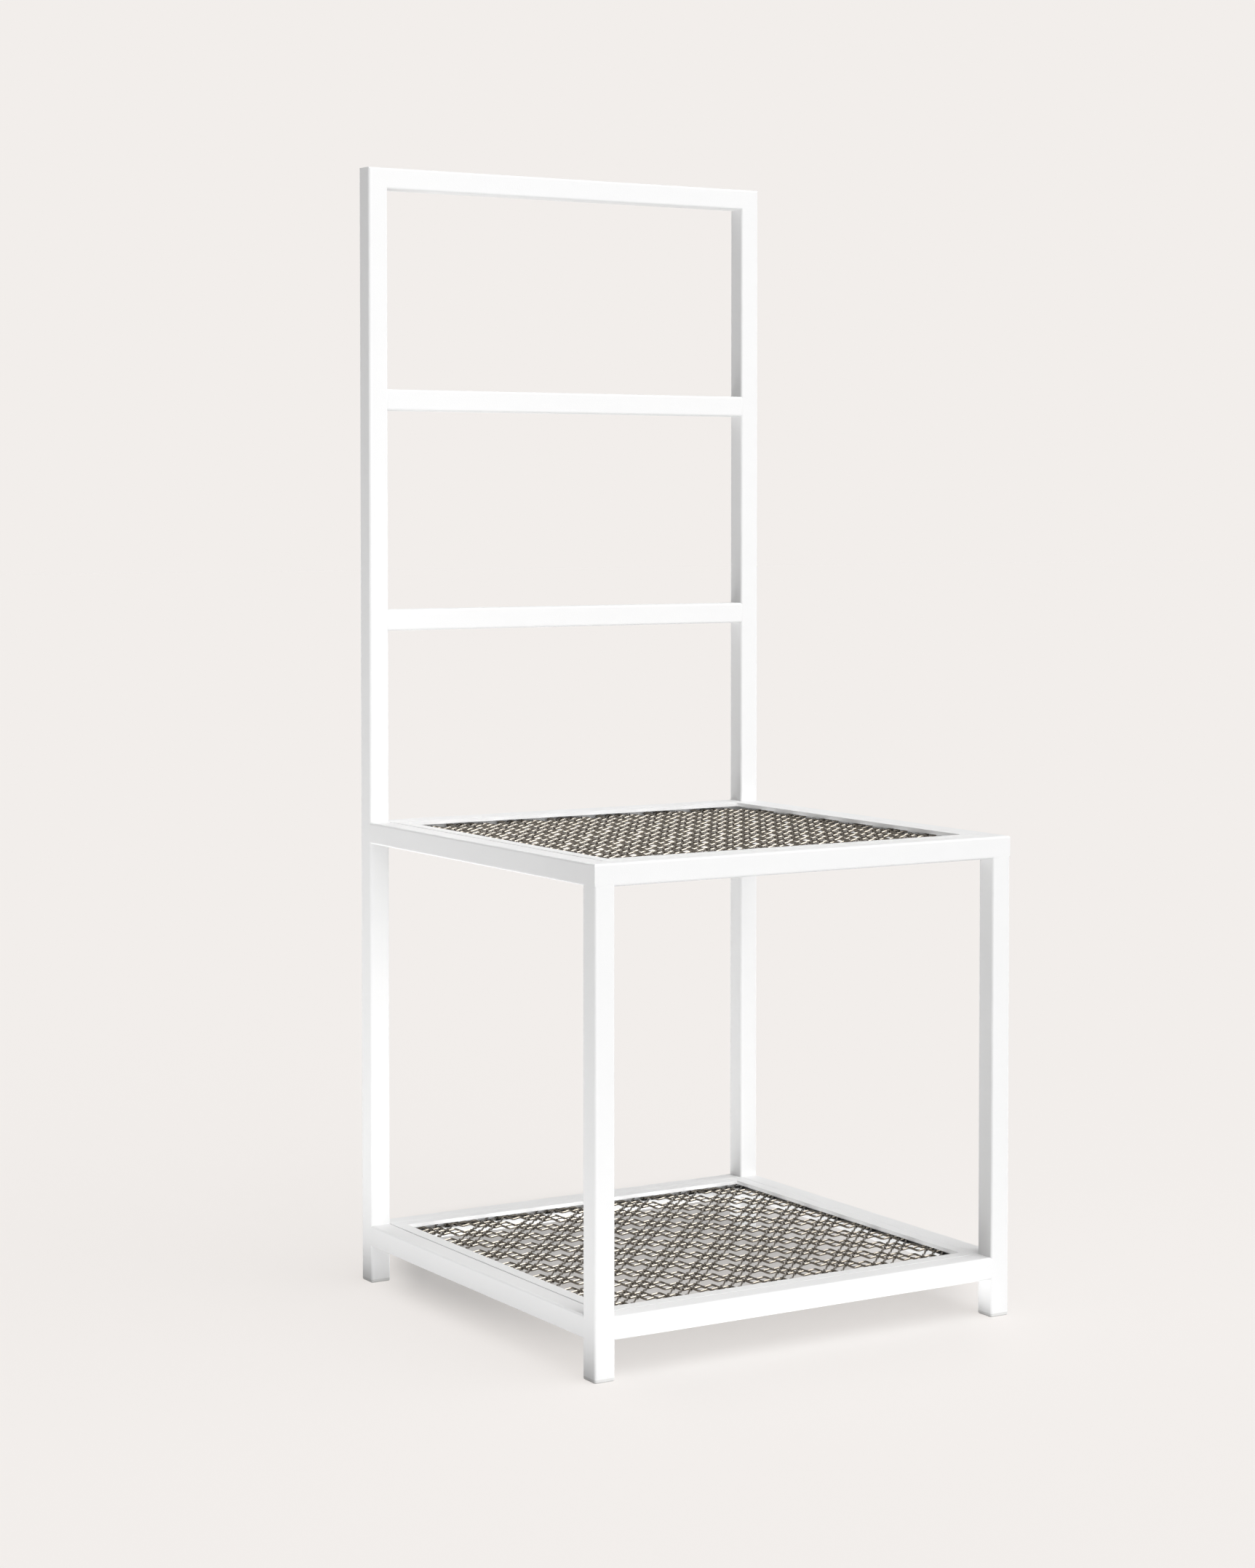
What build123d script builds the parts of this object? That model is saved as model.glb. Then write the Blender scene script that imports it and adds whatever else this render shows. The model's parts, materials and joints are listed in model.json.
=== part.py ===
from build123d import *
import math
import os

# A welded square-tube chair with a woven wire seat and a woven wire shelf near the floor.
# Millimetres. The chair stands on z = 0 and its front faces -Y. x = 0 is its middle, y = 0 half its depth.

# Overall frame
WIDTH = 440.0
DEPTH = 430.0
HEIGHT = 1055.0
SEAT_TOP = 438.0
SHELF_TOP = 54.5
UPPER_RUNG_TOP = 847.0
LOWER_RUNG_TOP = 639.0

# Square tube
TUBE = 20.0
TUBE_WALL = 1.5
TUBE_RADIUS = 2.0

# White flat strip welded round the inside of each rail ring, level with the top of the tubes
STRIP_WIDTH = 12.0
STRIP_THICK = 3.5

# Black flat ledge welded round the inside of each rail ring, under the wire panel
LEDGE_WIDTH = 5.5
LEDGE_THICK = 1.0

# Woven wire panel: wires run on both diagonals of the seat, three side by side and then a gap
WIRE = 2.0
PANEL_PLAY = 1.3
WIRE_SPACING = 7.85
WIRES_IN_GROUP = 3
WIRES_LEFT_OUT = 2
WIRE_SIDES = 8
WIRE_TO_RAIL = 2.0
SHORTEST_WIRE = 30.0
SEAT_WEAVE_OFFSET = (-19.0, 6.5)
SHELF_WEAVE_OFFSET = (0.3, 4.2)

# Plastic foot pushed into each leg
FOOT_THICK = 3.0
FOOT_EDGE = 0.8
PLUG_LENGTH = 18.0
PLUG_CORE = 13.0
PLUG_FIN_THICK = 1.6
PLUG_FINS = 3
PLUG_CLEARANCE = 0.1

HALF_X = WIDTH / 2
HALF_Y = DEPTH / 2
POST_X = HALF_X - TUBE / 2
POST_Y = HALF_Y - TUBE / 2
INNER_X = HALF_X - TUBE
INNER_Y = HALF_Y - TUBE
BORE = TUBE - 2 * TUBE_WALL
SIDES = {"front": -90.0, "right": 0.0, "rear": 90.0, "left": 180.0}


def tube(start, end):
    """A length of square tube from one centre-line point to another, both ends cut square."""
    start, end = Vector(*start), Vector(*end)
    run = end - start
    across = Vector(0, 1, 0) if abs(run.Y) < abs(run.X) + abs(run.Z) else Vector(1, 0, 0)
    section = Plane(origin=start, x_dir=across, z_dir=run)
    outline = RectangleRounded(TUBE, TUBE, TUBE_RADIUS) - Rectangle(BORE, BORE)
    return extrude(section * outline, amount=run.length)


def mitre(solid, corner, keep_towards):
    """Cut a tube along the plane through a corner, keeping the side that keep_towards points to."""
    return split(solid, bisect_by=Plane(origin=corner, z_dir=keep_towards), keep=Keep.TOP)


def posts_and_legs():
    """Two full-height rear posts, mitred at the top, and two front legs up to the seat ring."""
    solids = {}
    for side, sign in (("left", -1), ("right", 1)):
        x = sign * POST_X
        post = tube((x, POST_Y, FOOT_THICK), (x, POST_Y, HEIGHT))
        solids[f"rear_{side}_post"] = mitre(post, (x, POST_Y, HEIGHT - TUBE / 2), (sign, 0, -1))
        solids[f"front_{side}_leg"] = tube((x, -POST_Y, FOOT_THICK), (x, -POST_Y, SEAT_TOP - TUBE))
    return solids


def back_rails():
    """The top rail, mitred between the posts, and two rungs between them."""
    z = HEIGHT - TUBE / 2
    rail = tube((-HALF_X, POST_Y, z), (HALF_X, POST_Y, z))
    for sign in (-1, 1):
        rail = mitre(rail, (sign * POST_X, POST_Y, z), (-sign, 0, 1))
    solids = {"back_top_rail": rail}
    for name, top in (("upper", UPPER_RUNG_TOP), ("lower", LOWER_RUNG_TOP)):
        z = top - TUBE / 2
        solids[f"back_{name}_rung"] = tube((-INNER_X, POST_Y, z), (INNER_X, POST_Y, z))
    return solids


def seat_rails():
    """The seat ring: mitred at the two front corners over the legs, square against the rear posts."""
    z = SEAT_TOP - TUBE / 2
    front = tube((-HALF_X, -POST_Y, z), (HALF_X, -POST_Y, z))
    solids = {"seat_rear_rail": tube((-INNER_X, POST_Y, z), (INNER_X, POST_Y, z))}
    for side, sign in (("left", -1), ("right", 1)):
        corner = (sign * POST_X, -POST_Y, z)
        front = mitre(front, corner, (-sign, -1, 0))
        rail = tube((sign * POST_X, -HALF_Y, z), (sign * POST_X, INNER_Y, z))
        solids[f"seat_{side}_rail"] = mitre(rail, corner, (sign, 1, 0))
    solids["seat_front_rail"] = front
    return solids


def shelf_rails():
    """Four rails between the legs and posts, all cut square."""
    z = SHELF_TOP - TUBE / 2
    solids = {}
    for name, y in (("front", -POST_Y), ("rear", POST_Y)):
        solids[f"shelf_{name}_rail"] = tube((-INNER_X, y, z), (INNER_X, y, z))
    for name, x in (("left", -POST_X), ("right", POST_X)):
        solids[f"shelf_{name}_rail"] = tube((x, -INNER_Y, z), (x, INNER_Y, z))
    return solids


def side_reach(name):
    """Distance from the middle to a rail's inner face, and half the free length along that rail."""
    return (INNER_Y, INNER_X) if name in ("front", "rear") else (INNER_X, INNER_Y)


def flat_bar(name, width, bottom, thick):
    """A flat bar along the inside of one rail, mitred at 45 degrees to meet its neighbours."""
    reach, half_length = side_reach(name)
    corners = [
        (reach, -half_length),
        (reach, half_length),
        (reach - width, half_length - width),
        (reach - width, -half_length + width),
    ]
    bar = extrude(make_face(Polyline(*corners, close=True)), amount=thick)
    return Pos(0, 0, bottom) * Rot(0, 0, SIDES[name]) * bar


def panel_levels(top):
    """Heights of the strip's underside and of the ledge's top and underside, from the rails' top."""
    strip_under = top - STRIP_THICK
    ledge_top = strip_under - PANEL_PLAY - 2 * WIRE
    return strip_under, ledge_top, ledge_top - LEDGE_THICK


def panel_edges(panel, top):
    """White strips over the edge of the wire panel, and black ledges under it, on all four sides."""
    strip_under, _, ledge_under = panel_levels(top)
    solids = {}
    for name in SIDES:
        solids[f"{panel}_{name}_strip"] = flat_bar(name, STRIP_WIDTH, strip_under, STRIP_THICK)
        solids[f"{panel}_{name}_ledge"] = flat_bar(name, LEDGE_WIDTH, ledge_under, LEDGE_THICK)
    return solids


def wires(level, offset, sign):
    """One family of straight diagonal wires, clipped to the panel's rectangle.

    A wire runs along (1, -sign) and lies at a distance from the middle along (1, sign).
    """
    root2 = math.sqrt(2)
    half_x, half_y = INNER_X - WIRE_TO_RAIL, INNER_Y - WIRE_TO_RAIL
    repeat = WIRES_IN_GROUP + WIRES_LEFT_OUT
    reach = int((half_x + half_y) / WIRE_SPACING / repeat) + 1
    outline = RegularPolygon(WIRE / 2, WIRE_SIDES)
    solids = []
    for group in range(-reach, reach + 1):
        for member in range(WIRES_IN_GROUP):
            place = group * repeat + member - (WIRES_IN_GROUP - 1) / 2
            out = offset + place * WIRE_SPACING
            low = max(-half_x * root2 - out, out - half_y * root2)
            high = min(half_x * root2 - out, out + half_y * root2)
            if high - low < SHORTEST_WIRE:
                continue
            start = Vector((out + low) / root2, sign * (out - low) / root2, level)
            section = Plane(origin=start, x_dir=(0, 0, 1), z_dir=(1, -sign, 0))
            solids.append(extrude(section * outline, amount=high - low))
    return solids


def wire_panel(panel, top, offset):
    """Two crossing layers of wires that lie on the ledges, with a little play under the strips."""
    _, ledge_top, _ = panel_levels(top)
    return {
        f"{panel}_mesh_warp_wires": wires(ledge_top + WIRE / 2, offset[0], -1),
        f"{panel}_mesh_weft_wires": wires(ledge_top + WIRE * 3 / 2, offset[1], 1),
    }


def foot():
    """A foot that stands on z = 0: a pad with its lower edge bevelled, and a finned plug above it."""
    base = Align.CENTER, Align.CENTER, Align.MIN
    pad = extrude(RectangleRounded(TUBE, TUBE, TUBE_RADIUS), amount=FOOT_THICK)
    pad = chamfer(pad.faces().sort_by(Axis.Z)[0].edges(), FOOT_EDGE)
    body = pad + Pos(0, 0, FOOT_THICK) * Box(PLUG_CORE, PLUG_CORE, PLUG_LENGTH, align=base)
    fin_side = BORE - 2 * PLUG_CLEARANCE
    fin = Box(fin_side, fin_side, PLUG_FIN_THICK)
    pitch = PLUG_LENGTH / PLUG_FINS
    for i in range(PLUG_FINS):
        body += Pos(0, 0, FOOT_THICK + (i + 0.5) * pitch) * fin
    return body


def feet():
    """One foot in each leg and post."""
    solids = {}
    for end, y in (("front", -POST_Y), ("rear", POST_Y)):
        for side, x in (("left", -POST_X), ("right", POST_X)):
            solids[f"{end}_{side}_foot"] = Pos(x, y, 0) * foot()
    return solids


def build():
    """Every node of the chair by name: one solid, or a list of separate solids."""
    nodes = {**posts_and_legs(), **back_rails(), **seat_rails(), **shelf_rails(), **feet()}
    for panel, top, offset in (
        ("seat", SEAT_TOP, SEAT_WEAVE_OFFSET),
        ("shelf", SHELF_TOP, SHELF_WEAVE_OFFSET),
    ):
        nodes.update(panel_edges(panel, top))
        nodes.update(wire_panel(panel, top, offset))
    return nodes


os.makedirs("parts", exist_ok=True)
for node, shape in build().items():
    pieces = shape if isinstance(shape, list) else [shape]
    solids = [solid for piece in pieces for solid in piece.solids()]
    whole = solids[0] if len(solids) == 1 else Compound(children=solids)
    export_step(whole, f"parts/{node}.step")
    print(node, len(solids))
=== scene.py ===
"""A white square-tube dining chair with a woven wire seat and shelf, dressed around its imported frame."""

import json
import logging
import math
from dataclasses import dataclass, field
from enum import Enum, IntEnum

import bpy
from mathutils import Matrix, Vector


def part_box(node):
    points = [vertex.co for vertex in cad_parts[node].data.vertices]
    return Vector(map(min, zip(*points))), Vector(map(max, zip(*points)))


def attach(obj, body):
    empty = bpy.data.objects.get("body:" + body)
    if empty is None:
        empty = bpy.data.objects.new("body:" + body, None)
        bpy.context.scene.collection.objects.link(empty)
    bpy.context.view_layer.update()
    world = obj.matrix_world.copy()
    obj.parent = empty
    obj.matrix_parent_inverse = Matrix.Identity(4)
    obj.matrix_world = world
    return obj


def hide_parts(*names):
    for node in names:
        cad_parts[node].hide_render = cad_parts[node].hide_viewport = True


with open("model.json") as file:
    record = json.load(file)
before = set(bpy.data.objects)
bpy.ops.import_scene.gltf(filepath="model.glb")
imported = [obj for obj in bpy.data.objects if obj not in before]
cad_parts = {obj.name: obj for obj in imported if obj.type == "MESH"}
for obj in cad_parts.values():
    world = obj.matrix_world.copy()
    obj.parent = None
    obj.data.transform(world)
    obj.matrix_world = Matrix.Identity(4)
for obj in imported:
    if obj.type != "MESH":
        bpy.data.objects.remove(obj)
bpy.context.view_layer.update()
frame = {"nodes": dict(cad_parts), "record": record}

logging.basicConfig(level=logging.INFO, format="%(levelname)s %(message)s")
log = logging.getLogger("chair")

MM = 0.001
ROOT_BODY = "root"
UP = (0.0, 0.0, 1.0)
Colour = tuple[float, float, float]
Point = tuple[float, float, float]


class Family(Enum):
    """The two sets of wires in a woven panel, by the sign of y in the way that a wire runs."""

    WARP = 1
    WEFT = -1


class Axis(IntEnum):
    """The axis that a tube runs along, by its place in a vector."""

    X = 0
    Y = 1
    Z = 2


class End(IntEnum):
    """An end of a tube, by its sign along the tube's axis."""

    LOW = -1
    HIGH = 1


BOTH_ENDS = (End.LOW, End.HIGH)


def rgba(colour: Colour) -> tuple[float, float, float, float]:
    """Give a colour full alpha."""
    return (*colour, 1.0)


def math_node(
    tree: bpy.types.NodeTree, operation: str, *values: bpy.types.NodeSocket | float
) -> bpy.types.NodeSocket:
    """Add a math node.

    Args:
        tree: The node tree to add it to.
        operation: What it works out.
        values: Its inputs in order, each a socket to link or a number to set.

    Returns:
        The socket with the result.
    """
    node = tree.nodes.new("ShaderNodeMath")
    node.operation = operation
    for socket, value in zip(node.inputs, values):
        if isinstance(value, bpy.types.NodeSocket):
            tree.links.new(value, socket)
        else:
            socket.default_value = value
    return node.outputs["Value"]


class NodeGroups:
    """Shader node groups that several finishes share, each built once."""

    PATCH_DETAIL = 4.0
    PATCH_MIDDLE = 0.5
    RIPPLE_SCALE = 60.0

    @staticmethod
    def new_group(
        name: str, inputs: dict[str, tuple[str, object]], outputs: dict[str, str]
    ) -> bpy.types.NodeTree:
        """Start a node group with its sockets.

        Args:
            name: The group's name.
            inputs: Socket type and default value by input name.
            outputs: Socket type by output name.

        Returns:
            The group, with only its input and output nodes in it.
        """
        group = bpy.data.node_groups.new(name, "ShaderNodeTree")
        for socket, (kind, value) in inputs.items():
            group.interface.new_socket(socket, in_out="INPUT", socket_type=kind).default_value = value
        for socket, kind in outputs.items():
            group.interface.new_socket(socket, in_out="OUTPUT", socket_type=kind)
        group.nodes.new("NodeGroupInput")
        group.nodes.new("NodeGroupOutput")
        return group

    @classmethod
    def mottle(cls) -> bpy.types.NodeTree:
        """Make or find the group that varies a colour and a roughness in soft patches.

        Returns:
            A group with inputs Colour, Second Colour, Roughness, Spread and Scale, and with outputs Colour
            and Roughness.
        """
        name = "soft_mottle"
        if name in bpy.data.node_groups:
            return bpy.data.node_groups[name]
        inputs = {
            "Colour": ("NodeSocketColor", rgba((0.8, 0.8, 0.8))),
            "Second Colour": ("NodeSocketColor", rgba((0.7, 0.7, 0.7))),
            "Roughness": ("NodeSocketFloat", 0.4),
            "Spread": ("NodeSocketFloat", 0.1),
            "Scale": ("NodeSocketFloat", 20.0),
        }
        group = cls.new_group(name, inputs, {"Colour": "NodeSocketColor", "Roughness": "NodeSocketFloat"})
        nodes, links = group.nodes, group.links
        given, result = nodes["Group Input"], nodes["Group Output"]
        place = nodes.new("ShaderNodeTexCoord")
        noise = nodes.new("ShaderNodeTexNoise")
        noise.inputs["Detail"].default_value = cls.PATCH_DETAIL
        blend = nodes.new("ShaderNodeMix")
        blend.data_type = "RGBA"
        links.new(place.outputs["Object"], noise.inputs["Vector"])
        links.new(given.outputs["Scale"], noise.inputs["Scale"])
        links.new(noise.outputs["Fac"], blend.inputs["Factor"])
        links.new(given.outputs["Colour"], blend.inputs["A"])
        links.new(given.outputs["Second Colour"], blend.inputs["B"])
        links.new(blend.outputs["Result"], result.inputs["Colour"])
        centred = math_node(group, "SUBTRACT", noise.outputs["Fac"], cls.PATCH_MIDDLE)
        spread, roughness = given.outputs["Spread"], given.outputs["Roughness"]
        varied = math_node(group, "MULTIPLY_ADD", centred, spread, roughness)
        links.new(varied, result.inputs["Roughness"])
        return group

    @classmethod
    def grain(cls) -> bpy.types.NodeTree:
        """Make or find the group that gives the height of a fine pebbled skin, such as powder coat.

        Returns:
            A group with inputs Scale and Ripple, and output Height.
        """
        name = "fine_grain"
        if name in bpy.data.node_groups:
            return bpy.data.node_groups[name]
        inputs = {"Scale": ("NodeSocketFloat", 600.0), "Ripple": ("NodeSocketFloat", 0.3)}
        group = cls.new_group(name, inputs, {"Height": "NodeSocketFloat"})
        nodes, links = group.nodes, group.links
        given, result = nodes["Group Input"], nodes["Group Output"]
        place = nodes.new("ShaderNodeTexCoord")
        pebble = nodes.new("ShaderNodeTexVoronoi")
        pebble.feature = "SMOOTH_F1"
        ripple = nodes.new("ShaderNodeTexNoise")
        ripple.inputs["Scale"].default_value = cls.RIPPLE_SCALE
        links.new(place.outputs["Object"], pebble.inputs["Vector"])
        links.new(place.outputs["Object"], ripple.inputs["Vector"])
        links.new(given.outputs["Scale"], pebble.inputs["Scale"])
        height = math_node(
            group, "MULTIPLY_ADD", ripple.outputs["Fac"], given.outputs["Ripple"], pebble.outputs["Distance"]
        )
        links.new(height, result.inputs["Height"])
        return group


@dataclass(frozen=True)
class Finish:
    """A surface finish: a mottled colour and roughness over a fine grain.

    Attributes:
        name: The material's name.
        slot: The record's material slot.
        colour: Main colour.
        second: Colour of the soft patches.
        roughness: Mean roughness.
        spread: How far the roughness varies.
        patch_scale: Scale of the patches, per metre.
        grain_scale: Scale of the grain, per metre.
        grain_depth: Depth of the grain in metres.
        metallic: 1 for bare metal.
        specular: Specular level of the bare surface.
    """

    name: str
    slot: str
    colour: Colour
    second: Colour
    roughness: float
    spread: float
    patch_scale: float
    grain_scale: float
    grain_depth: float
    metallic: float = 0.0
    specular: float = 0.5

    def material(self) -> bpy.types.Material:
        """Make or find this finish's material.

        Returns:
            A material with one Principled BSDF.
        """
        if self.name in bpy.data.materials:
            return bpy.data.materials[self.name]
        made = bpy.data.materials.new(self.name)
        made.use_nodes = True
        made.diffuse_color = rgba(self.colour)
        nodes, links = made.node_tree.nodes, made.node_tree.links
        shader = nodes["Principled BSDF"]
        shader.inputs["Metallic"].default_value = self.metallic
        shader.inputs["Specular IOR Level"].default_value = self.specular
        mottle = nodes.new("ShaderNodeGroup")
        mottle.node_tree = NodeGroups.mottle()
        mottle.inputs["Colour"].default_value = rgba(self.colour)
        mottle.inputs["Second Colour"].default_value = rgba(self.second)
        mottle.inputs["Roughness"].default_value = self.roughness
        mottle.inputs["Spread"].default_value = self.spread
        mottle.inputs["Scale"].default_value = self.patch_scale
        links.new(mottle.outputs["Colour"], shader.inputs["Base Color"])
        links.new(mottle.outputs["Roughness"], shader.inputs["Roughness"])
        grain = nodes.new("ShaderNodeGroup")
        grain.node_tree = NodeGroups.grain()
        grain.inputs["Scale"].default_value = self.grain_scale
        bump = nodes.new("ShaderNodeBump")
        bump.inputs["Distance"].default_value = self.grain_depth
        links.new(grain.outputs["Height"], bump.inputs["Height"])
        links.new(bump.outputs["Normal"], shader.inputs["Normal"])
        return made

    def dress(self, piece: bpy.types.Object) -> None:
        """Give a piece this finish in place of any material it has."""
        piece.data.materials.clear()
        piece.data.materials.append(self.material())


POWDER_COAT = Finish(
    name="white_powder_coat",
    slot="frame_white",
    colour=(0.84, 0.84, 0.84),
    second=(0.82, 0.82, 0.82),
    roughness=0.48,
    spread=0.06,
    patch_scale=14.0,
    grain_scale=900.0,
    grain_depth=0.04 * MM,
    specular=0.35,
)
DRAWN_WIRE = Finish(
    name="drawn_steel_wire",
    slot="mesh_wire",
    colour=(0.19, 0.172, 0.145),
    second=(0.15, 0.135, 0.114),
    roughness=0.14,
    spread=0.06,
    patch_scale=90.0,
    grain_scale=1500.0,
    grain_depth=0.01 * MM,
    metallic=1.0,
)
BLACK_PAINT = Finish(
    name="black_ledge_paint",
    slot="ledge_black",
    colour=(0.012, 0.012, 0.012),
    second=(0.02, 0.02, 0.019),
    roughness=0.55,
    spread=0.1,
    patch_scale=40.0,
    grain_scale=800.0,
    grain_depth=0.05 * MM,
    specular=0.3,
)
FOOT_PLASTIC = Finish(
    name="grey_foot_plastic",
    slot="foot_plastic",
    colour=(0.72, 0.72, 0.71),
    second=(0.67, 0.67, 0.66),
    roughness=0.5,
    spread=0.1,
    patch_scale=60.0,
    grain_scale=1200.0,
    grain_depth=0.04 * MM,
)


@dataclass
class Sweep:
    """The mesh of a piece that is swept from ring to ring, with closed ends.

    Attributes:
        verts: The points so far.
        faces: The faces so far, as places in the list of points.
    """

    verts: list[Vector] = field(default_factory=list)
    faces: list[tuple[int, ...]] = field(default_factory=list)

    def add(self, rings: list[list[Vector]]) -> None:
        """Add one closed length.

        Args:
            rings: Rings of points in order, all with as many points.
        """
        first, count = len(self.verts), len(rings[0])
        ring = range(count)
        for points in rings:
            self.verts += points
        for i in range(len(rings) - 1):
            a, b = first + i * count, first + (i + 1) * count
            self.faces += [(a + k, a + (k + 1) % count, b + (k + 1) % count, b + k) for k in ring]
        last = len(self.verts) - count
        self.faces += [tuple(first + k for k in reversed(ring)), tuple(last + k for k in ring)]

    def make(self, name: str, finish: Finish, sharp: float) -> bpy.types.Object:
        """Make the piece and let it ride on the chair.

        Args:
            name: The piece's name.
            finish: Its finish.
            sharp: Edges that turn by more degrees than this stay sharp.

        Returns:
            The new piece.
        """
        mesh = bpy.data.meshes.new(name)
        mesh.from_pydata(self.verts, [], self.faces)
        mesh.validate()
        mesh.shade_smooth()
        mesh.set_sharp_from_angle(angle=math.radians(sharp))
        piece = bpy.data.objects.new(name, mesh)
        bpy.context.collection.objects.link(piece)
        finish.dress(piece)
        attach(piece, ROOT_BODY)
        return piece


@dataclass
class TubeFrame:
    """The welded frame, strips, ledges and feet, which keep their CAD shapes and get their finishes.

    Attributes:
        finishes: The finish for each material slot.
    """

    finishes: dict[str, Finish] = field(
        default_factory=lambda: {f.slot: f for f in (POWDER_COAT, DRAWN_WIRE, BLACK_PAINT, FOOT_PLASTIC)}
    )

    def dress(self) -> list[bpy.types.Object]:
        """Dress every CAD node by the slot that the record gives it.

        Returns:
            The dressed nodes.
        """
        dressed = []
        for row in frame["record"]["subparts"]:
            node = frame["nodes"][row["node"]]
            self.finishes[row["material_slot"]].dress(node)
            dressed.append(node)
        return dressed


@dataclass
class GroundWelds:
    """The welds between the tubes, ground flush, which fill the grooves that the round edges leave at joints.

    Attributes:
        ends: The tubes that end against another tube's side, each with its axis and the ends that do.
        depth: How far a weld reaches into the joint.
        overlap: How far a weld reaches back over the tube's end.
        inset: How far a weld's surface lies below the tube's.
        radius: Radius of the tube's edges.
        corner_steps: Flat steps round each edge.
        sharp: Edges that turn by more degrees than this stay sharp.
    """

    ends: dict[str, tuple[Axis, tuple[End, ...]]] = field(
        default_factory=lambda: {
            "front_left_leg": (Axis.Z, (End.HIGH,)),
            "front_right_leg": (Axis.Z, (End.HIGH,)),
            "back_upper_rung": (Axis.X, BOTH_ENDS),
            "back_lower_rung": (Axis.X, BOTH_ENDS),
            "seat_rear_rail": (Axis.X, BOTH_ENDS),
            "seat_left_rail": (Axis.Y, (End.HIGH,)),
            "seat_right_rail": (Axis.Y, (End.HIGH,)),
            "shelf_front_rail": (Axis.X, BOTH_ENDS),
            "shelf_rear_rail": (Axis.X, BOTH_ENDS),
            "shelf_left_rail": (Axis.Y, BOTH_ENDS),
            "shelf_right_rail": (Axis.Y, BOTH_ENDS),
        }
    )
    depth: float = 2.2 * MM
    overlap: float = 0.5 * MM
    inset: float = 0.03 * MM
    radius: float = 2.0 * MM
    corner_steps: int = 4
    sharp: float = 40.0

    def outline(self, half: float) -> list[tuple[float, float]]:
        """Points round a square with round corners.

        Args:
            half: Half the square's side.

        Returns:
            The points, in order.
        """
        quarter = math.pi / 2
        reach = (half - self.radius) * math.sqrt(2)
        points = []
        for corner in range(4):
            middle = (corner + 0.5) * quarter
            for step in range(self.corner_steps + 1):
                angle = (corner + step / self.corner_steps) * quarter
                points.append((
                    reach * math.cos(middle) + self.radius * math.cos(angle),
                    reach * math.sin(middle) + self.radius * math.sin(angle),
                ))
        return points

    def weld_rings(self, node: str, axis: Axis, end: End) -> list[list[Vector]]:
        """Find the two ends of one weld.

        Args:
            node: The tube that ends at the joint.
            axis: The axis that the tube runs along.
            end: Which of its ends is welded.

        Returns:
            The weld's two rings of points, the lower one along the axis first.
        """
        low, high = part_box(node)
        one, two = (axis + 1) % 3, (axis + 2) % 3
        ring = self.outline((high[one] - low[one]) / 2 - self.inset)
        cut = high[axis] if end is End.HIGH else low[axis]
        rings = []
        for level in sorted((cut - end * self.overlap, cut + end * self.depth)):
            centre = (low + high) / 2
            centre[axis] = level
            points = [centre.copy() for _ in ring]
            for point, (u, v) in zip(points, ring):
                point[one] += u
                point[two] += v
            rings.append(points)
        return rings

    def build(self) -> bpy.types.Object:
        """Make all welds as one piece, and return it."""
        sweep = Sweep()
        for node, (axis, ends) in self.ends.items():
            for end in ends:
                sweep.add(self.weld_rings(node, axis, end))
        return sweep.make("ground_welds", POWDER_COAT, self.sharp)


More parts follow.
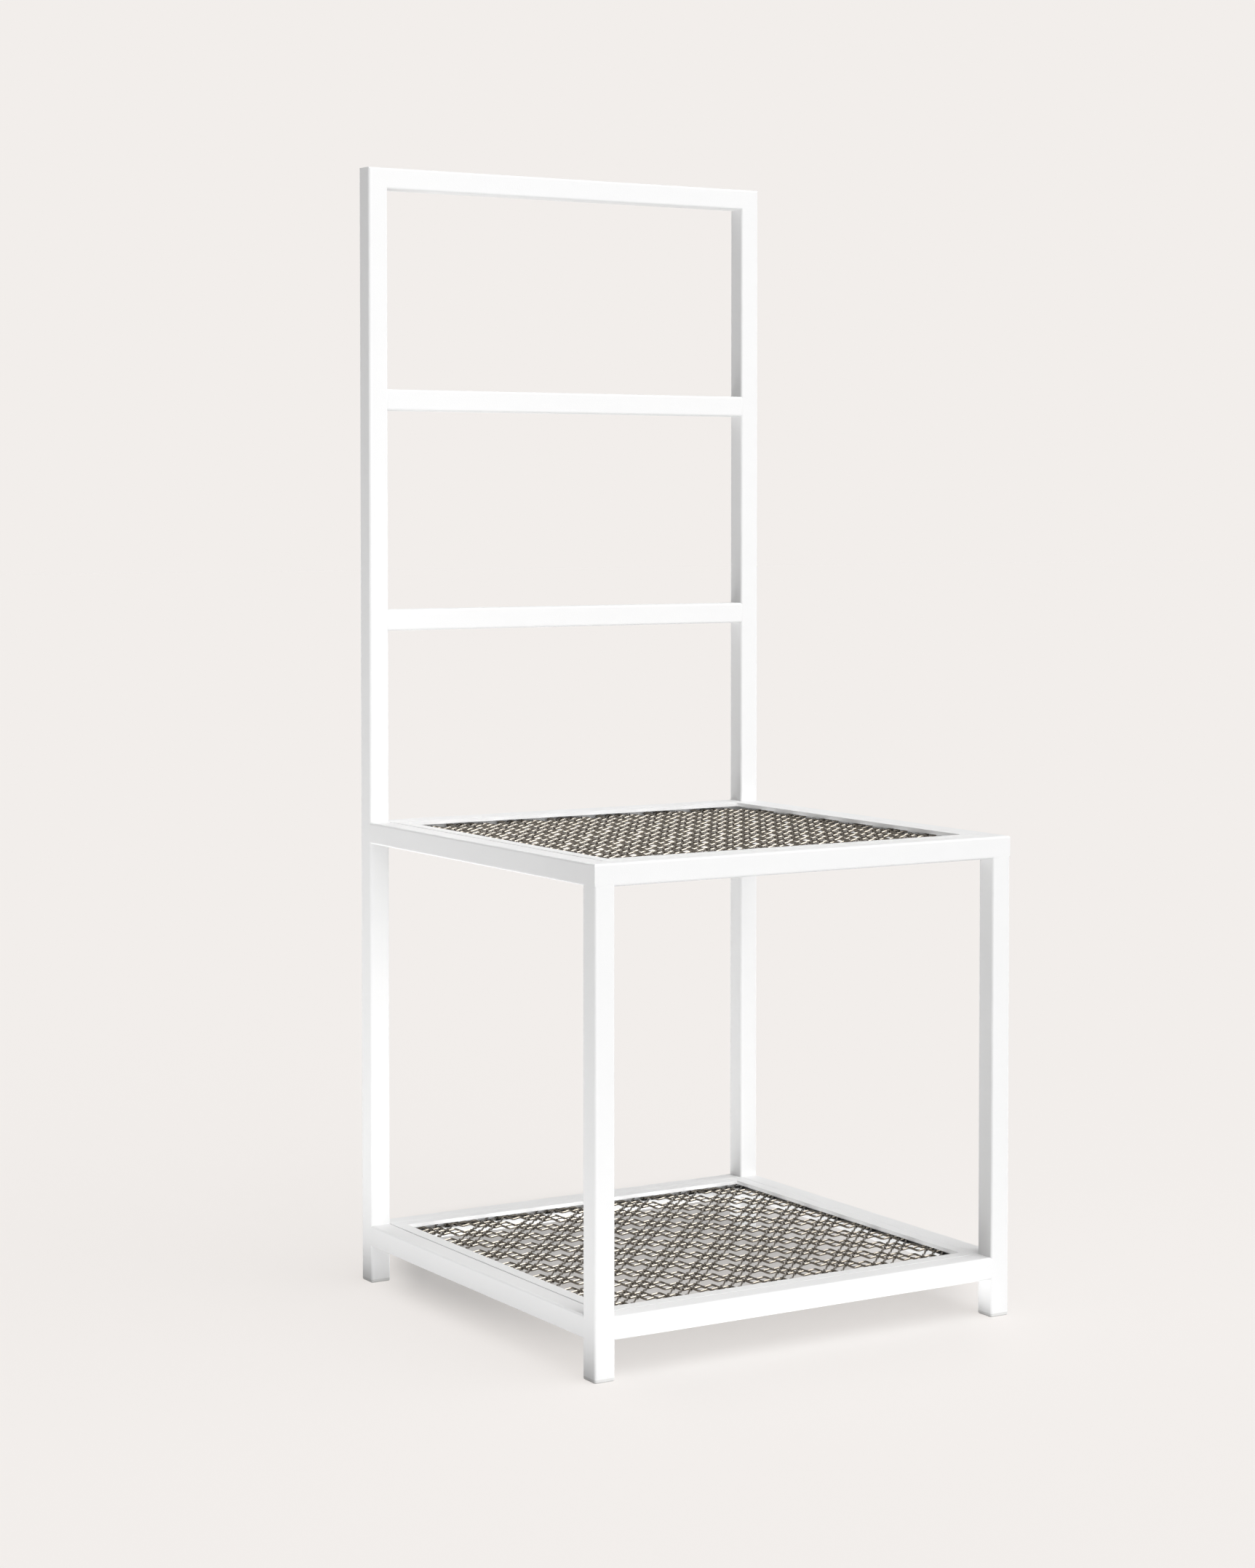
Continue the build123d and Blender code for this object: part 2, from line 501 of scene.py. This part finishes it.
@dataclass
class WovenPanel:
    """A panel of crimped wires woven over and under on the diagonals, three wires and then a gap.

    Attributes:
        panel: The panel's name, seat or shelf.
        offset: Distance of the middle wire of a group from the chair's middle, for warp and weft, in metres.
        wire: Wire diameter.
        crimp: How far a wire's centre line rises and falls from the middle plane.
        pointed: How straight the wire is between its bends: near 1 a zigzag, near 0 a sine wave.
        spacing: Distance between neighbouring wires of a group.
        in_group: Wires side by side in a group.
        left_out: Wires left out between groups.
        to_rail: Gap between the cut wire ends and the rail.
        shortest: Wires shorter than this in the corners are left out.
        sides: Corners of a wire's round section.
        steps: Straight steps in a wire from one crossing to the next.
        sharp: Edges that turn by more degrees than this stay sharp.
    """

    panel: str
    offset: dict[Family, float]
    wire: float = 2.0 * MM
    crimp: dict[Family, float] = field(default_factory=lambda: {Family.WARP: 0.9 * MM, Family.WEFT: 1.1 * MM})
    pointed: float = 0.92
    spacing: float = 7.85 * MM
    in_group: int = 3
    left_out: int = 2
    to_rail: float = 2.0 * MM
    shortest: float = 30.0 * MM
    sides: int = 8
    steps: int = 4
    sharp: float = 60.0

    def half_size(self) -> tuple[float, float]:
        """Half the panel's width and depth, from the rails' inner faces."""
        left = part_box(f"{self.panel}_left_rail")[1].x
        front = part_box(f"{self.panel}_front_rail")[1].y
        return -left - self.to_rail, -front - self.to_rail

    def middle_height(self) -> float:
        """Height of the weave's middle plane, with its lowest bends on the ledge."""
        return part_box(f"{self.panel}_front_ledge")[1].z + self.crimp[Family.WEFT] + self.wire / 2

    def places(self) -> list[int]:
        """Whole-number places of the wires across a panel, with the gaps left out."""
        repeat = self.in_group + self.left_out
        half = self.in_group // 2
        reach = int(sum(self.half_size()) / self.spacing / repeat) + 1
        return [g * repeat + m for g in range(-reach, reach + 1) for m in range(-half, half + 1)]

    def wire_run(self, family: Family, place: int) -> tuple[float, float, float]:
        """Find where one wire crosses the panel.

        Args:
            family: Which set the wire belongs to.
            place: The wire's whole-number place in its set.

        Returns:
            The wire's distance from the middle, and where it starts and ends along its own direction.
        """
        half_x, half_y = (h * math.sqrt(2) for h in self.half_size())
        out = self.offset[family] + place * self.spacing
        return out, max(-half_x - out, out - half_y), min(half_x - out, out + half_y)

    def crimp_points(self, family: Family, place: int) -> list[tuple[Vector, Vector]]:
        """Follow one crimped wire across the panel.

        Args:
            family: Which set the wire belongs to.
            place: The wire's whole-number place in its set.

        Returns:
            Points on the wire's centre line, each with the slope's direction there, or none for a short wire.
        """
        out, low, high = self.wire_run(family, place)
        if high - low < self.shortest:
            return []
        other = Family.WEFT if family is Family.WARP else Family.WARP
        lift = family.value * self.crimp[family] / math.asin(self.pointed)
        middle = self.middle_height()
        count = max(2, round((high - low) / self.spacing * self.steps))
        along = Vector((1, family.value, 0)).normalized()
        base = Vector((1, -family.value, 0)).normalized() * out
        points = []
        for i in range(count + 1):
            t = low + (high - low) * i / count
            angle = math.pi * ((t - self.offset[other]) / self.spacing + place)
            bend = self.pointed * math.cos(angle)
            height = middle + lift * math.asin(bend)
            steepness = -lift * self.pointed * math.sin(angle) / math.sqrt(1 - bend * bend)
            slope = steepness * math.pi / self.spacing
            centre = base + along * t + Vector((0, 0, height))
            points.append((centre, (along + Vector((0, 0, slope))).normalized()))
        return points

    def build_family(self, family: Family) -> bpy.types.Object:
        """Make all wires of one set as one piece, and let it stand for the CAD node.

        Args:
            family: Which set to make.

        Returns:
            The new piece.
        """
        sweep = Sweep()
        across = Vector((1, -family.value, 0)).normalized()
        angles = [2 * math.pi * k / self.sides for k in range(self.sides)]
        turns = [(math.cos(a), math.sin(a)) for a in angles]
        for place in self.places():
            rings = []
            for centre, slope in self.crimp_points(family, place):
                up = across.cross(slope) * -family.value
                rings.append([centre + (across * c + up * s) * self.wire / 2 for c, s in turns])
            if rings:
                sweep.add(rings)
        kind = family.name.lower()
        piece = sweep.make(f"{self.panel}_{kind}_weave", DRAWN_WIRE, self.sharp)
        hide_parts(f"{self.panel}_mesh_{kind}_wires")
        return piece

    def build(self) -> list[bpy.types.Object]:
        """Make both sets of wires, and return them."""
        return [self.build_family(family) for family in Family]


@dataclass(frozen=True)
class SoftEdge:
    """A soft edge across the floor or the world.

    Attributes:
        direction: The axis that the edge is square to.
        dark: How far along the axis the edge starts.
        full: How far along the axis it ends.
    """

    direction: Point
    dark: float
    full: float

    def mask(self, point: bpy.types.NodeSocket) -> bpy.types.NodeSocket:
        """Add nodes for the edge.

        Args:
            point: The socket with the place or the direction.

        Returns:
            A socket that rises from 0 to 1 across the edge.
        """
        tree = point.id_data
        along = tree.nodes.new("ShaderNodeVectorMath")
        along.operation = "DOT_PRODUCT"
        along.inputs[1].default_value = Vector(self.direction).normalized()
        rise = tree.nodes.new("ShaderNodeMapRange")
        rise.interpolation_type = "SMOOTHSTEP"
        rise.inputs["From Min"].default_value = self.dark
        rise.inputs["From Max"].default_value = self.full
        tree.links.new(point, along.inputs[0])
        tree.links.new(along.outputs["Value"], rise.inputs["Value"])
        return rise.outputs["Result"]


@dataclass(frozen=True)
class FloorPanel:
    """A glowing panel that lies on the floor and lights the chair from below.

    Attributes:
        name: The lamp's name.
        power: Its power in watts.
        place: The panel's middle.
        size: Its width and depth.
    """

    name: str
    power: float
    place: Point
    size: tuple[float, float]

    def add(self) -> None:
        """Lay the panel down, facing up, where only matt surfaces meet its light."""
        data = bpy.data.lights.new(self.name, "AREA")
        data.energy = self.power
        data.shape = "RECTANGLE"
        data.size, data.size_y = self.size
        lamp = bpy.data.objects.new(self.name, data)
        bpy.context.collection.objects.link(lamp)
        lamp.location = self.place
        lamp.rotation_euler = (math.pi, 0.0, 0.0)
        lamp.visible_camera = False
        lamp.visible_glossy = False


@dataclass
class Studio:
    """Plain pale floor with a painted shadow under the shelf, soft light and the camera.

    Attributes:
        backdrop: Colour of what is behind the chair, and of the floor in the picture.
        floor_size: Side of the floor.
        floor_paint: Grey level of the floor's paint in the light.
        floor_light: Light that the open floor gets, as the grey level of white paint there.
        floor_glow: How much of the floor's colour in the picture doesn't depend on the light.
        painted_shadow_depth: How much of that glow a painted shadow under the shelf takes away.
        painted_shadow_edges: Edges of that painted shadow. The slanted ones follow the picture's line of
            sight past the legs.
        ambient: Light from all round.
        ceiling: Grey level of the dim ceiling, which shows only in the metal.
        ceiling_edge: Where the walls pass into the ceiling.
        strip_light: Brightness of a strip light that arches over the chair, which shows only in the metal.
        strip_axis: The axis of the arch, as a direction.
        strip_level: How far along that axis the middle of the arch lies.
        strip_width: Half its width along that axis.
        strip_ends: Where the arch runs out, at the rear and above the floor.
        front_light: Extra light from the front.
        front_from: Where the extra light comes from.
        front_fade: How fast the extra light fades away from its middle.
        top_light: Strength of the overhead lamp.
        top_from: Where the overhead lamp stands, as a direction.
        top_spread: How wide the overhead lamp looks, in degrees.
        floor_panels: Panels on the floor at the chair's left, and under and behind it.
        camera_place: Where the camera stands, in metres.
        camera_yaw: Camera's turn from +Y towards +X, in degrees.
        camera_pitch: Camera's tilt above the level, in degrees.
        camera_reach: How far the camera sees.
        focal_pixels: Focal length in pixels of the picture.
        axis_row: Picture row that the camera's axis passes through.
        picture_height: Height of the picture in pixels.
        sensor: Size of the sensor's long side in millimetres.
    """

    backdrop: Colour = (0.888, 0.855, 0.831)
    floor_size: float = 60.0
    floor_paint: float = 0.58
    floor_light: float = 0.915
    floor_glow: float = 0.6
    painted_shadow_depth: float = 0.56
    painted_shadow_edges: tuple[SoftEdge, ...] = (
        SoftEdge((1.0, 0.0, 0.0), -0.24, -0.16),
        SoftEdge((-1.0, 0.0, 0.0), -0.36, -0.22),
        SoftEdge((0.0, 1.0, 0.0), -0.4, 0.3),
        SoftEdge((0.0, -1.0, 0.0), -0.46, -0.28),
        SoftEdge((0.851, -0.525, 0.0), -0.3, -0.24),
        SoftEdge((-0.851, 0.525, 0.0), -0.3, -0.24),
    )
    ambient: float = 0.02
    ceiling: float = 0.1
    ceiling_edge: SoftEdge = SoftEdge(UP, 0.4, 0.7)
    strip_light: float = 9.0
    strip_axis: Point = (0.6725, -0.6725, 0.309)
    strip_level: float = -0.283
    strip_width: float = 0.22
    strip_ends: tuple[SoftEdge, ...] = (SoftEdge((-0.35, -0.45, 0.82), -0.2, 0.1), SoftEdge(UP, 0.1, 0.25))
    front_light: float = 2.72
    front_from: Point = (0.35, -0.82, 0.5)
    front_fade: float = 2.0
    top_light: float = 0.45
    top_from: Point = (0.05, -0.15, 0.98)
    top_spread: float = 40.0
    floor_panels: tuple[FloorPanel, ...] = (
        FloorPanel("left_floor_bounce", 11.0, (-0.935, 0.45, 0.0005), (1.33, 1.6)),
        FloorPanel("rear_floor_bounce", 2.75, (0.0, 0.375, 0.0005), (0.36, 1.25)),
    )
    camera_place: Point = (-1.58924, -2.48666, 0.73741)
    camera_yaw: float = 31.67
    camera_pitch: float = -2.0
    camera_reach: float = 100.0
    focal_pixels: float = 4383.5
    axis_row: float = 848.1
    picture_height: float = 2156.0
    sensor: float = 36.0

    @staticmethod
    def seen_directly(tree: bpy.types.NodeTree) -> bpy.types.NodeSocket:
        """Add nodes that tell the rays that show a surface from the rays that carry light.

        Args:
            tree: The material's or the world's node tree.

        Returns:
            A socket that is 1 for camera, glossy and transmission rays.
        """
        path = tree.nodes.new("ShaderNodeLightPath")
        socket = path.outputs["Is Camera Ray"]
        for kind in ("Is Glossy Ray", "Is Transmission Ray"):
            socket = math_node(tree, "MAXIMUM", socket, path.outputs[kind])
        return socket

    @staticmethod
    def product(factors: list[bpy.types.NodeSocket], strength: float) -> bpy.types.NodeSocket:
        """Add nodes that multiply sockets and a strength.

        Args:
            factors: The sockets to multiply.
            strength: A number to multiply them by.

        Returns:
            A socket with the product.
        """
        total: bpy.types.NodeSocket | float = strength
        for factor in factors:
            total = math_node(factor.id_data, "MULTIPLY", factor, total)
        return total

    def painted_shelf_shadow(self, tree: bpy.types.NodeTree) -> bpy.types.NodeSocket:
        """Add nodes for the soft shadow that is painted on the floor under the shelf.

        Args:
            tree: The floor's node tree.

        Returns:
            A socket that is the painted shadow's depth under the middle of the shelf and 0 beyond its edges.
        """
        place = tree.nodes.new("ShaderNodeNewGeometry").outputs["Position"]
        return self.product([edge.mask(place) for edge in self.painted_shadow_edges], self.painted_shadow_depth)

    def add_floor(self) -> None:
        """Lay a wide pale floor that shows a faint real shadow, with a painted shadow under the shelf on top.
        """
        bpy.ops.mesh.primitive_plane_add(size=self.floor_size)
        floor = bpy.context.object
        floor.name = "studio_floor"
        made = bpy.data.materials.new("studio_floor_paint")
        made.use_nodes = True
        tree = made.node_tree
        nodes, links = tree.nodes, tree.links
        nodes.clear()
        out = nodes.new("ShaderNodeOutputMaterial")
        matt = nodes.new("ShaderNodeBsdfDiffuse")
        matt.inputs["Color"].default_value = rgba((self.floor_paint,) * 3)
        glow = nodes.new("ShaderNodeEmission")
        lit = (1.0 - self.floor_glow) * self.floor_paint * self.floor_light
        open_glow = tuple((c - lit) / self.floor_glow for c in self.backdrop)
        # Painted shadow: a mask darkens the floor's glow under the shelf, and no lamp or object casts this
        # darkening.
        painted_shadow_mix = nodes.new("ShaderNodeMix")
        painted_shadow_mix.data_type = "RGBA"
        painted_shadow_mix.inputs["A"].default_value = rgba(open_glow)
        painted_shadow_mix.inputs["B"].default_value = rgba((0.0, 0.0, 0.0))
        links.new(self.painted_shelf_shadow(tree), painted_shadow_mix.inputs["Factor"])
        links.new(painted_shadow_mix.outputs["Result"], glow.inputs["Color"])
        mix = nodes.new("ShaderNodeMixShader")
        links.new(math_node(tree, "MULTIPLY", self.seen_directly(tree), self.floor_glow), mix.inputs["Fac"])
        links.new(matt.outputs["BSDF"], mix.inputs[1])
        links.new(glow.outputs["Emission"], mix.inputs[2])
        links.new(mix.outputs["Shader"], out.inputs["Surface"])
        floor.data.materials.append(made)

    def front_glow(self, tree: bpy.types.NodeTree) -> bpy.types.NodeSocket:
        """Add nodes for the light in the world, a soft round glow at the front over a faint light all round.

        Args:
            tree: The world's node tree.

        Returns:
            A socket with the light's strength.
        """
        facing = tree.nodes.new("ShaderNodeVectorMath")
        facing.operation = "DOT_PRODUCT"
        facing.inputs[1].default_value = Vector(self.front_from).normalized()
        tree.links.new(tree.nodes.new("ShaderNodeTexCoord").outputs["Generated"], facing.inputs[0])
        front = math_node(tree, "MAXIMUM", facing.outputs["Value"], 0.0)
        glow = math_node(tree, "POWER", front, self.front_fade)
        return math_node(tree, "MULTIPLY_ADD", glow, self.front_light, self.ambient)

    def arch(self, tree: bpy.types.NodeTree) -> bpy.types.NodeSocket:
        """Add nodes for the strip light in the world, which only glossy rays meet.

        Args:
            tree: The world's node tree.

        Returns:
            A socket with the strip light's brightness.
        """
        wide, level = self.strip_width, self.strip_level
        sides = [SoftEdge(self.strip_axis, level + s * wide, level + s * wide / 2) for s in (-1, 1)]
        place = tree.nodes.new("ShaderNodeTexCoord").outputs["Generated"]
        factors = [edge.mask(place) for edge in (*sides, *self.strip_ends)]
        factors.append(tree.nodes.new("ShaderNodeLightPath").outputs["Is Glossy Ray"])
        return self.product(factors, self.strip_light)

    def add_world(self) -> None:
        """Light the chair softly, mostly from the front, in a studio with pale walls and a dim ceiling."""
        world = bpy.data.worlds.new("studio_world")
        bpy.context.scene.world = world
        world.use_nodes = True
        tree = world.node_tree
        nodes, links = tree.nodes, tree.links
        nodes.clear()
        out = nodes.new("ShaderNodeOutputWorld")
        mix = nodes.new("ShaderNodeMixShader")
        light = nodes.new("ShaderNodeBackground")
        light.inputs["Color"].default_value = rgba((1.0, 1.0, 1.0))
        links.new(self.front_glow(tree), light.inputs["Strength"])
        walls = nodes.new("ShaderNodeMix")
        walls.data_type = "RGBA"
        walls.inputs["A"].default_value = rgba(self.backdrop)
        walls.inputs["B"].default_value = rgba((self.ceiling,) * 3)
        room = nodes.new("ShaderNodeBackground")
        place = nodes.new("ShaderNodeTexCoord").outputs["Generated"]
        links.new(self.ceiling_edge.mask(place), walls.inputs["Factor"])
        links.new(walls.outputs["Result"], room.inputs["Color"])
        strip = nodes.new("ShaderNodeBackground")
        strip.inputs["Color"].default_value = rgba((1.0, 1.0, 1.0))
        links.new(self.arch(tree), strip.inputs["Strength"])
        seen = nodes.new("ShaderNodeAddShader")
        links.new(room.outputs["Background"], seen.inputs[0])
        links.new(strip.outputs["Background"], seen.inputs[1])
        links.new(self.seen_directly(tree), mix.inputs["Fac"])
        links.new(light.outputs["Background"], mix.inputs[1])
        links.new(seen.outputs["Shader"], mix.inputs[2])
        links.new(mix.outputs["Shader"], out.inputs["Surface"])

    def add_lamps(self) -> None:
        """Hang one soft lamp over the chair, and lay the glowing panels on the floor."""
        data = bpy.data.lights.new("overhead_lamp", "SUN")
        data.energy = self.top_light
        data.angle = math.radians(self.top_spread)
        lamp = bpy.data.objects.new("overhead_lamp", data)
        bpy.context.collection.objects.link(lamp)
        lamp.rotation_mode = "QUATERNION"
        lamp.rotation_quaternion = Vector(self.top_from).normalized().to_track_quat("Z", "Y")
        for panel in self.floor_panels:
            panel.add()

    def add_camera(self) -> None:
        """Stand the camera where the picture was taken from."""
        data = bpy.data.cameras.new("picture_camera")
        data.sensor_width = self.sensor
        data.lens = self.focal_pixels / self.picture_height * self.sensor
        data.shift_y = (self.axis_row - self.picture_height / 2) / self.picture_height
        data.clip_end = self.camera_reach
        camera = bpy.data.objects.new("picture_camera", data)
        bpy.context.collection.objects.link(camera)
        yaw, pitch = math.radians(self.camera_yaw), math.radians(self.camera_pitch)
        look = Vector((math.sin(yaw) * math.cos(pitch), math.cos(yaw) * math.cos(pitch), math.sin(pitch)))
        camera.location = self.camera_place
        camera.rotation_mode = "QUATERNION"
        camera.rotation_quaternion = look.to_track_quat("-Z", "Y")
        bpy.context.scene.camera = camera

    def build(self) -> None:
        """Set up the floor, the light, the camera and the picture's plain colour transform."""
        bpy.context.scene.view_settings.view_transform = "Standard"
        self.add_floor()
        self.add_world()
        self.add_lamps()
        self.add_camera()


def main() -> None:
    """Dress the frame, fill its joints, weave both panels and set up the studio."""
    pieces = TubeFrame().dress()
    pieces.append(GroundWelds().build())
    pieces += WovenPanel("seat", {Family.WARP: -19.0 * MM, Family.WEFT: 6.5 * MM}).build()
    pieces += WovenPanel("shelf", {Family.WARP: 0.3 * MM, Family.WEFT: 4.2 * MM}).build()
    for piece in pieces:
        log.info("%s, %d faces", piece.name, len(piece.data.polygons))
    Studio().build()


if __name__ == "__main__":
    main()
